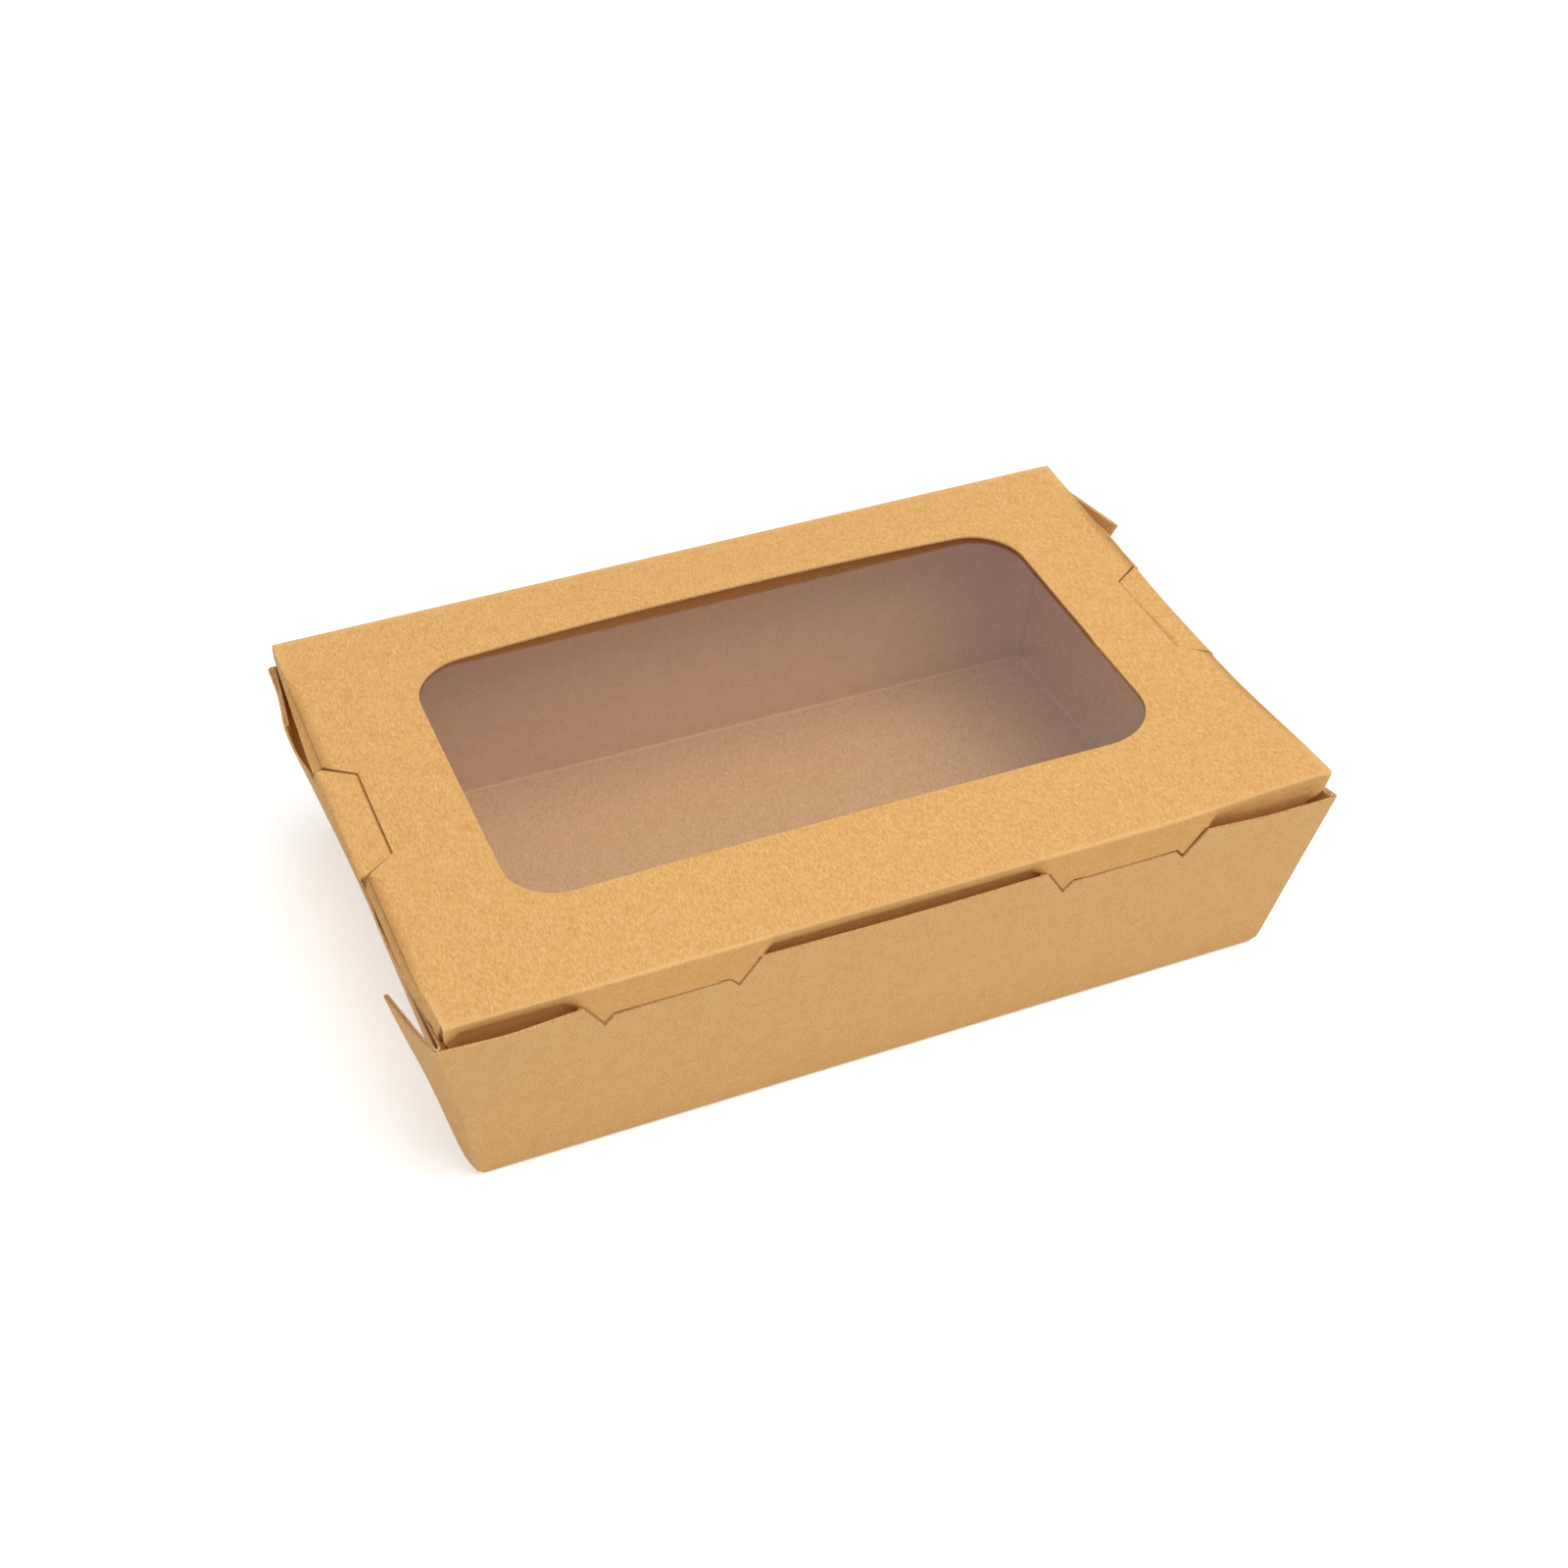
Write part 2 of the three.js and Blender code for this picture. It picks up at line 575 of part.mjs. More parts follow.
function makeFilm() {
  const [x, y] = [windowLength / 2 + filmMargin, windowDepth / 2 + filmMargin];
  const shape = polygon([windowShiftX - x, windowShiftY - y], [windowShiftX + x, windowShiftY - y],
    [windowShiftX + x, windowShiftY + y], [windowShiftX - x, windowShiftY + y]);
  const top = lidHeight - board - clearance;
  return sunk(toGeometry(prism(shape, 'z', top - filmThickness, top)));
}

function named(name, geometry, material) {
  geometry.computeVertexNormals();
  const mesh = new THREE.Mesh(geometry, material);
  mesh.name = name;
  return mesh;
}

const lunchBox = new THREE.Group();
lunchBox.add(named('tray', makeTray(), kraftTray));
lunchBox.add(named('lid', makeLid(), kraftLid));
lunchBox.add(named('window_film', makeFilm(), clearFilm));

export default lunchBox;
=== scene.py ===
# Kraft lunch box with a windowed lid: the looks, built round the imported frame.
# Sizes are in millimetres until a mesh is made, then in metres.
# X runs along the box, and the front wall faces -Y.
import math

import bpy
import numpy as np
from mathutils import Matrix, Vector
from mathutils.geometry import delaunay_2d_cdt


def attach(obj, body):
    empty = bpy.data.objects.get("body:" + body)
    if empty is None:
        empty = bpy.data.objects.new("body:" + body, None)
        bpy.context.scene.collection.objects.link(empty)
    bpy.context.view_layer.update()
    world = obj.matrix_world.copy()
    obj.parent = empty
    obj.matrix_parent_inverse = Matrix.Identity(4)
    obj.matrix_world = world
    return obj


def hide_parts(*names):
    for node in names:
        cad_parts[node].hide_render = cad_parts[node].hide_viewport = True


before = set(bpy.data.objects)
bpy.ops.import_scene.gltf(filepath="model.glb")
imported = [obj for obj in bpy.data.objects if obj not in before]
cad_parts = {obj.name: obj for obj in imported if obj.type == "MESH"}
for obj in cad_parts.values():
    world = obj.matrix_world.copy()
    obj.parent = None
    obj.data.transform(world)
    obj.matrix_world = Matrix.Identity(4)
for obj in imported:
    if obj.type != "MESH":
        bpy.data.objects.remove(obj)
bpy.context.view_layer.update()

# Tray
# The real piece: floor, four sloping walls and four webbed corners, creased and folded from one kraft blank.
# No corner is cut: the board between two walls is folded double along its diagonal and laid on the end wall.
BOARD = 0.45
HALF = BOARD / 2
BASE_LENGTH, BASE_DEPTH = 166.0, 105.0
RIM_LENGTH, RIM_DEPTH, RIM_HEIGHT = 182.6, 118.8, 43.0
LID_HEIGHT = 48.0
BACK_TOP = 47.15
FLOOR_RADIUS = 0.9
LAYER_GAP = 0.1
ELBOW_RADIUS = 0.6
FRONT_LOCKS = (-46.0, 46.0)
NOTCH = ((-17.2, 0.0), (-13.0, 7.0), (-11.2, 4.7), (11.2, 4.7), (13.0, 7.0), (17.2, 0.0))
SIDE_LOCK, SIDE_SLIT, SLIT_INSET, TIP_LENGTH = 16.5, 12.3, 6.3, 5.0
TONGUE_BEND = {-1: 91.8, 1: 90.2}
SIDE_MIDDLE = {-1: 2.0, 1: 2.6}
# how far each end wall's rim and the front wall's rim stand out, at places from -1 to 1 along them
RIM_BOW = (
    (-1, -0.3), (-0.8, 0.1), (-0.5, 0), (-0.25, -0.5), (0, -0.7), (0.25, -0.3),
    (0.37, 0.5), (0.47, 1.5), (0.6, 1.8), (0.75, 1.3), (0.9, 0.4), (1, 0),
)
FRONT_BOW = (
    (-1, 1.2), (-0.87, 1.8), (-0.7, 0.9), (-0.5, 0.2), (-0.32, 0.3),
    (0, 0.7), (0.32, 0.4), (0.5, 0.2), (0.7, 0.4), (1, 0.3),
)
# how far the front left corner and the back left one are drawn in, how much lower the front right one sits,
# and how far the back wall's foot stands back
DRAWN_IN, BACK_DRAWN_IN, CORNER_LOW, BACK_FOOT = 1.6, 0.9, 1.3, 3.0
# by corner: the crease's length and its angle to the corner, and the degrees that its root and tip stand off
WEBS = {
    (-1, -1): (39.5, 34.0, 15.0, 2.0), (1, -1): (39.5, 34.0, 10.0, 2.0),
    (-1, 1): (45.0, 24.0, 0.5, 2.0), (1, 1): (45.6, 24.0, 15.0, 15.0),
}
LID_SIDE_INSET, LID_SAG = 2.3, 2.0


def half_length(z):
    return (BASE_LENGTH + (RIM_LENGTH - BASE_LENGTH) * z / RIM_HEIGHT) / 2


def half_depth(z):
    return (BASE_DEPTH + (RIM_DEPTH - BASE_DEPTH) * z / RIM_HEIGHT) / 2


END_LEAN = math.atan((RIM_LENGTH - BASE_LENGTH) / 2 / RIM_HEIGHT)
FRONT_LEAN = math.atan((RIM_DEPTH - BASE_DEPTH) / 2 / RIM_HEIGHT)
LID_X = half_length(LID_HEIGHT) - LID_SIDE_INSET
LID_Y = half_depth(LID_HEIGHT)


def lid_drop(x, y):
    across = np.cos(np.pi / 2 * np.clip(np.asarray(y) / LID_Y, -1, 1))
    return LID_SAG * across * np.minimum(np.abs(x) / LID_X, 1) ** 3


def smooth(t):
    t = np.clip(t, 0, 1)
    return t * t * (3 - 2 * t)


def bowed(table, share):
    """How far a rim stands out at a place along it, as one smooth curve through the table."""
    at, out = np.array(table, float).T
    slope = np.gradient(out, at)
    slope[0] = slope[-1] = 0
    p = np.clip(np.asarray(share, float), -1, 1)
    k = np.clip(np.searchsorted(at, p) - 1, 0, len(at) - 2)
    w = at[k + 1] - at[k]
    t = (p - at[k]) / w
    return (
        (2 * t**3 - 3 * t**2 + 1) * out[k]
        + (t**3 - 2 * t**2 + t) * w * slope[k]
        + (3 * t**2 - 2 * t**3) * out[k + 1]
        + (t**3 - t**2) * w * slope[k + 1]
    )


def rim_bow(y):
    return bowed(RIM_BOW, np.asarray(y, float) / half_depth(RIM_HEIGHT))


def floor_fold(lean, steps=6):
    """The crease from floor to wall, as (out from the wall's foot, height) along the middle of the board."""
    centre = FLOOR_RADIUS * math.tan(lean) - FLOOR_RADIUS / math.cos(lean)
    radius = FLOOR_RADIUS - HALF
    turn = np.linspace(-math.pi / 2, -lean, steps + 1)
    arc = np.stack([centre + radius * np.cos(turn), FLOOR_RADIUS + radius * np.sin(turn)], -1)
    return np.concatenate([[[centre - 0.5, HALF]], arc])


WALL_ROWS = np.array([0.02, 0.05, 0.09, 0.15, 0.22, 0.3, 0.4, 0.5, 0.6, 0.7, 0.8, 0.88, 0.94, 0.98, 1.0])


def long_column(side, x, top):
    """A strip of the front (-1) or back (1) wall, from the floor to its cut edge at (x, top)."""
    share = x / half_length(top)
    fold = floor_fold(FRONT_LEAN)
    low = [(share * half_length(0), side * (half_depth(0) + r), z) for r, z in fold]
    z = fold[-1, 1] + (top - fold[-1, 1]) * WALL_ROWS
    wall = np.stack([share * half_length(z), side * (half_depth(z) - HALF / math.cos(FRONT_LEAN)), z], -1)
    return np.concatenate([low, wall])


def end_column(side, y):
    """A strip of an end wall, bowed a little towards its rim."""
    share = y / half_depth(RIM_HEIGHT)
    fold = floor_fold(END_LEAN)
    low = [(side * (half_length(0) + r), share * half_depth(0), z) for r, z in fold]
    z = fold[-1, 1] + (RIM_HEIGHT - fold[-1, 1]) * WALL_ROWS
    bow = float(rim_bow(y))
    out = half_length(z) - HALF / math.cos(END_LEAN) + bow * (z / RIM_HEIGHT) ** (1.5 if bow > 0 else 0.7)
    wall = np.stack([side * out, share * half_depth(z), z], -1)
    return np.concatenate([low, wall])


def web_columns(side_x, side_y):
    """The board round one corner, from the long wall over the web's two layers to the end wall."""
    crease, angle, root_spring, tip_spring = WEBS[side_x, side_y]
    foot = np.array([side_x * half_length(0), side_y * half_depth(0), 0])
    rim = np.array([side_x * half_length(RIM_HEIGHT), side_y * half_depth(RIM_HEIGHT), RIM_HEIGHT])
    up = rim - foot
    height = np.linalg.norm(up)
    up = up / height
    across = np.array([0, -side_y, 0.0])
    across -= up * (across @ up)
    across /= np.linalg.norm(across)
    out = np.cross(up, across)
    out *= np.sign(out[0] * side_x)
    root_slope, tip_slope = math.tan(math.radians(root_spring)), math.tan(math.radians(tip_spring))
    tip = crease * np.array([math.sin(math.radians(angle)), math.cos(math.radians(angle))])
    pitch = BOARD + LAYER_GAP
    inner = HALF + LAYER_GAP
    outer = inner + pitch
    # (across, out) at the corner, and how far towards the web's tip the strip's top lies
    path = []
    for a in np.linspace(math.pi, math.pi / 2, 7):
        path.append((HALF + ELBOW_RADIUS * (1 + math.cos(a)), outer - ELBOW_RADIUS * (1 - math.sin(a)), 0.0))
    layer = np.array([0.03, 0.1, 0.2, 0.32, 0.45, 0.58, 0.7, 0.81, 0.9, 0.96])
    for q in layer:
        path.append((1.0, outer, q))
    for a in np.linspace(math.pi / 2, -math.pi / 2, 9):
        path.append((1.0 + pitch / 2 * math.cos(a), (outer + inner) / 2 + pitch / 2 * math.sin(a), 1.0))
    for q in layer[::-1]:
        path.append((1.0, inner, q))
    root = (inner + HALF) / 2
    for a in np.linspace(math.pi / 2, 1.5 * math.pi, 7):
        path.append((1.0 + root * math.cos(a), inner - root + root * math.sin(a), 0.0))
    columns = []
    long_fold, end_fold = floor_fold(FRONT_LEAN), floor_fold(END_LEAN)
    for n, (a, c, q) in enumerate(path):
        turn = n / (len(path) - 1) * math.pi / 2
        low = []
        for (r_long, z), (r_end, _) in zip(long_fold, end_fold):
            x = half_length(0) - FLOOR_RADIUS + (FLOOR_RADIUS + r_end) * math.sin(turn)
            y = half_depth(0) - FLOOR_RADIUS + (FLOOR_RADIUS + r_long) * math.cos(turn)
            low.append((side_x * x, side_y * y, z))
        start = long_fold[-1, 1] / height
        t = start + (1 - start) * WALL_ROWS
        grow = smooth(t / 0.1)
        top = np.array([0, height]) * (1 - q) + tip * q
        along_across = t * top[0] + grow * a
        along_up = t * top[1]
        out_along = t * top[0]
        away = grow * c + root_slope * out_along + (tip_slope - root_slope) * out_along**2 / (2 * tip[0])
        wall = foot + np.outer(along_across, across) + np.outer(along_up, up) + np.outer(away, out)
        columns.append(np.concatenate([low, wall]))
    return columns


def spaced(values, step):
    """The values with more between them, no further apart than step."""
    made = [values[0]]
    for a, b in zip(values, values[1:]):
        count = max(1, math.ceil(np.linalg.norm(np.subtract(b, a)) / step))
        made += [np.add(a, np.subtract(b, a) * k / count) for k in range(1, count + 1)]
    return made


def rim_outline():
    """The front wall's cut edge as (x, height), with the notch of each lock."""
    end = half_length(RIM_HEIGHT) - 1.5
    points = [(-end, RIM_HEIGHT)]
    for centre in FRONT_LOCKS:
        points += [(centre + x, RIM_HEIGHT - down * math.cos(FRONT_LEAN)) for x, down in NOTCH]
    points.append((end, RIM_HEIGHT))
    return spaced([np.array(p) for p in points], 3.5)


def end_places(side):
    """Places along an end wall, with one at each end of its tongue."""
    middle, end = SIDE_MIDDLE[side], half_depth(RIM_HEIGHT) - 1.8
    lock = middle + SIDE_LOCK * np.linspace(-1, 1, 11)
    return np.concatenate([np.linspace(-end, lock[0], 13)[:-1], lock, np.linspace(lock[-1], end, 13)[1:]])


def back_top(x):
    """The back wall's crease ends where the lid does, and its cut edge slopes down to the corner."""
    return BACK_TOP - (BACK_TOP - RIM_HEIGHT) * float(smooth((abs(x) - 88) / 1.8))


def settled(points):
    """The box as it stands: its left corners drawn in, its front right one low, its back foot further back."""
    x, y, z = points.T
    up = np.clip(z / RIM_HEIGHT, 0, 1.1)
    left_front = smooth((-x - 64) / 22) * smooth((-y - 22) / 26)
    left_back = smooth((-x - 80) / 8) * smooth((y - 38) / 14)
    drawn = DRAWN_IN * left_front * smooth(z / 22) + BACK_DRAWN_IN * left_back * up
    forward = smooth((-y - 38) / 14) * bowed(FRONT_BOW, x / half_length(RIM_HEIGHT)) * up**2
    backward = smooth((y - 20) / 25) * (BACK_FOOT - 0.012 * (x + 50)) * np.clip(1 - up, 0, 1)
    low = CORNER_LOW * smooth((x - 58) / 22) * smooth((-y - 25) / 25)
    return np.stack([x + drawn, y - forward + backward, z * (1 - low / RIM_HEIGHT)], -1)


back_end = half_length(RIM_HEIGHT) - 1.5
corner_steps = np.array([88.0, 88.4, 88.8, 89.2, 89.5, back_end])
back_places = np.concatenate([-corner_steps[::-1], np.linspace(-86, 86, 43), corner_steps])
columns = [long_column(-1, x, z) for x, z in rim_outline()[::-1]]
columns += web_columns(-1, -1)
columns += [end_column(-1, y) for y in end_places(-1)]
columns += web_columns(-1, 1)[::-1]
columns += [long_column(1, x, back_top(x)) for x in back_places]
columns += web_columns(1, 1)
columns += [end_column(1, y) for y in end_places(1)[::-1]]
columns += web_columns(1, -1)[::-1]
columns = [settled(c) for c in columns]


def tongue_strip(side):
    """A side tongue's rows from the end wall's rim, over the lid's edge and down through the slit."""
    slit = LID_X - SLIT_INSET
    rows = None
    for v in np.linspace(-1, 1, 11):
        middle = SIDE_MIDDLE[side]
        y = middle + v * SIDE_LOCK
        dive = 0.1 + (0.8 * float(smooth((0.7 - v) / 1.2)) * float(smooth((v + 1) / 0.4)) if side > 0 else 0)
        drop = float(lid_drop(LID_X, y))
        rim = half_length(RIM_HEIGHT) + float(rim_bow(y))
        bend = TONGUE_BEND[side]
        corners = [
            (rim, RIM_HEIGHT), (bend, LID_HEIGHT - drop), (slit + dive + 0.5, LID_HEIGHT - drop),
            (slit + dive - 0.1, LID_HEIGHT - 1.3 * BOARD - drop),
            (slit - TIP_LENGTH, LID_HEIGHT - 1.5 * BOARD - drop),
        ]
        path = offset(rounded(corners, (1.2, 0.5, 0.8), 9), HALF)
        far = lengths(path)
        stops = np.linspace(0, far[-1], 64)
        spots = along(path, stops)
        width = []
        for x, z in spots:
            if z < LID_HEIGHT - 3 or x > LID_X:
                width.append(SIDE_LOCK)
            elif x > slit:
                width.append(SIDE_SLIT + (SIDE_LOCK - SIDE_SLIT) * (x - slit) / (LID_X - slit))
            else:
                width.append(SIDE_SLIT - 0.5 - 1.6 * smooth((slit - x) / TIP_LENGTH))
        line = [(side * x, middle + v * w, z) for (x, z), w in zip(spots, width)]
        rows = [line] if rows is None else [*rows, line]
    return rows


def rounded(corners, radius, steps):
    """A path through corners, (across, height) each, with a round bend at each inner one.

    The radius is one for all bends, or one for each.
    """
    pts = [np.array(p, float) for p in corners]
    made = [pts[0]]
    for before, fold, after, bend in zip(pts, pts[1:], pts[2:], np.broadcast_to(radius, len(pts) - 2)):
        back, on = before - fold, after - fold
        gap_back, gap_on = np.linalg.norm(back), np.linalg.norm(on)
        back, on = back / gap_back, on / gap_on
        half = math.acos(max(-1, min(1, float(back @ on)))) / 2
        reach = min(bend / math.tan(half), 0.45 * gap_back, 0.45 * gap_on) if half < 1.5607 else 0.05
        bisector = (back + on) / max(np.linalg.norm(back + on), 1e-9)
        start, end = fold + back * reach, fold + on * reach
        centre = fold + bisector * reach / max(math.cos(half), 1e-6)
        a, b = start - centre, end - centre
        turn = math.atan2(a[0] * b[1] - a[1] * b[0], float(a @ b))
        for k in range(steps + 1):
            c, s = math.cos(turn * k / steps), math.sin(turn * k / steps)
            made.append(centre + np.array([a[0] * c - a[1] * s, a[0] * s + a[1] * c]))
    made.append(pts[-1])
    return np.array(made)


def lengths(path):
    return np.concatenate([[0], np.cumsum(np.linalg.norm(np.diff(path, axis=0), axis=1))])


def along(path, distance):
    far = lengths(path)
    return np.stack([np.interp(distance, far, path[:, k]) for k in (0, 1)], -1)


def offset(path, inward):
    """The path moved to its left by a distance."""
    way = np.gradient(path, axis=0)
    way /= np.linalg.norm(way, axis=1)[:, None]
    return path + inward * np.stack([-way[:, 1], way[:, 0]], -1)


class Sheet:
    """Vertices and faces of one board, gathered before they become a mesh."""

    def __init__(self):
        self.points, self.faces, self.crease_shading = [], [], []

    def grid(self, lines, closed=False):
        start, rows = len(self.points), len(lines[0])
        for line in lines:
            self.points += [tuple(p) for p in line]
        count = len(lines)
        for c in range(count if closed else count - 1):
            for r in range(rows - 1):
                a, b = start + c * rows + r, start + (c + 1) % count * rows + r
                self.faces.append((a, b, b + 1, a + 1))
        return start


def board_mesh(name, points, faces, crease_shading, shift, even, materials, tones=None, thickness=BOARD):
    """One closed sheet with its thickness. A cut edge takes the material after its face's own."""
    mesh = bpy.data.meshes.new(name)
    mesh.from_pydata((np.array(points) * 0.001).tolist(), [], faces)
    mesh.attributes.new("fold", "FLOAT", "POINT").data.foreach_set("value", crease_shading)
    piece = bpy.data.objects.new(name, mesh)
    bpy.context.scene.collection.objects.link(piece)
    for material in materials:
        mesh.materials.append(material)
    if tones:
        mesh.polygons.foreach_set("material_index", tones)
    weld = piece.modifiers.new("weld", "WELD")
    weld.merge_threshold = 2e-6
    thick = piece.modifiers.new("board", "SOLIDIFY")
    thick.thickness = thickness * 0.001
    thick.offset = shift
    thick.use_even_offset = even
    thick.use_quality_normals = True
    thick.material_offset_rim = 1
    made = bpy.data.meshes.new_from_object(piece.evaluated_get(bpy.context.evaluated_depsgraph_get()))
    piece.modifiers.clear()
    piece.data = made
    made.name = name
    bpy.data.meshes.remove(mesh)
    made.shade_smooth()
    made.set_sharp_from_angle(angle=math.radians(38))
    return piece


def linear(colour):
    """An sRGB hex colour as the linear values that a shader takes."""
    parts = [int(colour[k : k + 2], 16) / 255 for k in (1, 3, 5)]
    return [c / 12.92 if c <= 0.04045 else ((c + 0.055) / 1.055) ** 2.4 for c in parts] + [1]


def add(tree, kind, settings=None, **links):
    """Adds a node. Settings are its properties or, by socket name or number, its values; links feed sockets."""
    node = tree.nodes.new(kind)
    for key, value in (settings or {}).items():
        if isinstance(key, int) or key in node.inputs:
            node.inputs[key].default_value = value
        else:
            setattr(node, key, value)
    for key, source in links.items():
        place = int(key[1:]) if key[0] == "i" and key[1:].isdigit() else key.replace("_", " ")
        tree.links.new(source, node.inputs[place])
    return node


def kraft(name, base, light, dark):
    """Uncoated kraft board: unbleached fibres pressed flat.

    It is matt, faintly clouded and flecked. It takes a painted highlight along the creases and round the window's cut
    edge, and a painted shade along the score line near each end of the lid.
    """
    material = bpy.data.materials.new(name)
    material.use_nodes = True
    tree = material.node_tree
    tree.nodes.clear()
    place = add(tree, "ShaderNodeTexCoord").outputs["Object"]
    # clouds of 3 mm, where the pulp lay thicker
    cloud = add(tree, "ShaderNodeTexNoise", {"Scale": 330.0, "Detail": 4.0, "Roughness": 0.6}, Vector=place)
    # fibres about 1 mm long and 0.2 mm wide, lying both ways, drawn coarser than real ones so that they show
    fibres = []
    for turn, wide, long in ((0.5, 3900.0, 950.0), (-0.9, 3600.0, 850.0)):
        lie = add(
            tree, "ShaderNodeMapping", {"Rotation": (0.3, 0.2, turn), "Scale": (wide, long, wide)},
            Vector=place,
        )
        fibres.append(add(tree, "ShaderNodeTexNoise", {"Scale": 1.0, "Detail": 2.0}, Vector=lie.outputs[0]))
    both = add(
        tree, "ShaderNodeMath", {"operation": "MULTIPLY"}, i0=fibres[0].outputs[0], i1=fibres[1].outputs[0],
    )
    pale = add(
        tree, "ShaderNodeMapRange", {"From Min": 0.25, "From Max": 0.4, "To Max": 0.6}, Value=both.outputs[0],
    )
    deep = add(
        tree, "ShaderNodeMapRange", {"From Min": 0.24, "From Max": 0.12, "To Max": 0.6},
        Value=both.outputs[0],
    )
    cloudy = add(
        tree, "ShaderNodeMapRange", {"From Min": 0.35, "From Max": 0.7, "To Max": 0.3},
        Value=cloud.outputs[0],
    )
    ground = add(
        tree, "ShaderNodeMix", {"data_type": "RGBA", 6: linear(base), 7: linear(dark)}, i0=cloudy.outputs[0],
    )
    lit = add(
        tree, "ShaderNodeMix", {"data_type": "RGBA", 7: linear(light)}, i0=pale.outputs[0],
        i6=ground.outputs[2],
    )
    speck = add(
        tree, "ShaderNodeMix", {"data_type": "RGBA", 7: linear(dark)}, i0=deep.outputs[0], i6=lit.outputs[2],
    )
    # the fold attribute carries painted light: up to 1 is a painted highlight along a crease, below 0 is painted shade
    # along a score line
    fold = add(tree, "ShaderNodeAttribute", {"attribute_name": "fold"})
    crease_highlight = add(tree, "ShaderNodeMapRange", {"From Min": 0.2, "To Max": 0.55}, Value=fold.outputs["Fac"])
    crease_lit = add(
        tree, "ShaderNodeMix", {"data_type": "RGBA", 7: linear(light)}, i0=crease_highlight.outputs[0],
        i6=speck.outputs[2],
    )
    # painted shade along the lid's score line, in dark brown
    pressed = add(
        tree, "ShaderNodeMapRange", {"From Min": -0.1, "From Max": -1.0, "To Max": 0.8}, Value=fold.outputs["Fac"]
    )
    with_score_shade = add(
        tree, "ShaderNodeMix", {"data_type": "RGBA", 7: linear("#8a5a2a")}, i0=pressed.outputs[0], i6=crease_lit.outputs[2]
    )
    surface = add(
        tree, "ShaderNodeBsdfPrincipled", {"Roughness": 0.82, "IOR": 1.5, "Specular IOR Level": 0.2},
        Base_Color=with_score_shade.outputs[2],
    )
    bump = add(tree, "ShaderNodeBump", {"Strength": 0.25, "Distance": 0.00004}, Height=both.outputs[0])
    tree.links.new(bump.outputs[0], surface.inputs["Normal"])
    output = add(tree, "ShaderNodeOutputMaterial")
    tree.links.new(surface.outputs[0], output.inputs[0])
    return material


kraft_board = kraft("uncoated kraft board", "#e5b778", "#f2cf98", "#cc9656")
kraft_edge = kraft("cut kraft edge", "#d8ad76", "#e8c999", "#b58650")
# a copy of the same board painted warmer and more orange, standing for warm light from above; the lid and the side
# tongues take it
kraft_warm_lit = kraft("uncoated kraft board, painted warm top light", "#e5b16c", "#f4cb8e", "#cc8f4a")

sheet = Sheet()
half_floor = np.array([half_length(0) - 5, half_depth(0) - 5])
columns = [np.concatenate([[[*np.clip(c[0, :2], -half_floor, half_floor), HALF]], c]) for c in columns]
first = sheet.grid(columns, closed=True)
rows = len(columns[0])
sheet.faces.append(tuple(first + c * rows for c in range(len(columns)))[::-1])
# a painted highlight along the crease from the floor to the walls
crease_shading = np.zeros((len(columns), rows))
crease_shading[:, 2:8] = 1
sheet.crease_shading += list(crease_shading.ravel())
wall_faces = len(sheet.faces)
for side in (-1, 1):
    sheet.grid(tongue_strip(side) if side < 0 else tongue_strip(side)[::-1])
sheet.crease_shading += [0.0] * (len(sheet.points) - len(sheet.crease_shading))
# the side tongues, lying on the lid, take the copy painted with warm top light
tones = [0] * wall_faces + [2] * (len(sheet.faces) - wall_faces)
finishes = [kraft_board, kraft_edge, kraft_warm_lit, kraft_edge]
tray = board_mesh("tray_board", sheet.points, sheet.faces, sheet.crease_shading, 0.0, False, finishes, tones)
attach(tray, "tray")
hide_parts("tray")

# Lid
# The real piece: the same blank, creased at the back wall's top edge. It has a window, a lip on three sides,
# two tongues at the front that push out through the front wall's notches, and a notch at each end.
CREASE_RADIUS = 0.9
BACK_RADIUS = 0.6
LIP_DEPTH, LIP_TAPER, CORNER_GAP = 11.0, 4.0, 1.2
RIM_GAP = 0.3
LIP_BACK = 1.9
SLIT_WIDTH = 0.45
TONGUE_TIP = 10.0
WINDOW_LENGTH, WINDOW_DEPTH, WINDOW_RADIUS = 135.0, 75.5, 11.0
# its front right corner came out rounder
WINDOW_WIDE_RADIUS = 13.5
WINDOW_X, WINDOW_Y = 0.9, 3.0
# the strip behind the window has curled up, the front right corner stands up, the front left one is drawn in
BOARD_RISE, CORNER_LIFT, LID_DRAWN_IN = 1.8, 1.4, 1.1
# the left lock is open a little at its back end
LOCK_GAP = 0.5

START = 3 * CREASE_RADIUS
lip_low = LID_HEIGHT - LIP_DEPTH
behind = BOARD + RIM_GAP
lip_path = rounded(
    [(-(LID_Y - START), LID_HEIGHT), (-LID_Y, LID_HEIGHT), (-(half_depth(RIM_HEIGHT) - LIP_BACK), RIM_HEIGHT),
     (-(half_depth(lip_low) - behind - RIM_GAP - 0.5), lip_low)], CREASE_RADIUS, 8,
)


def on_wall(down, depth):
    """A place on the front wall, down its slope from the rim and in from its outer face."""
    y = -half_depth(RIM_HEIGHT) + down * math.sin(FRONT_LEAN) + depth * math.cos(FRONT_LEAN)
    return (y, RIM_HEIGHT - down * math.cos(FRONT_LEAN) + depth * math.sin(FRONT_LEAN))


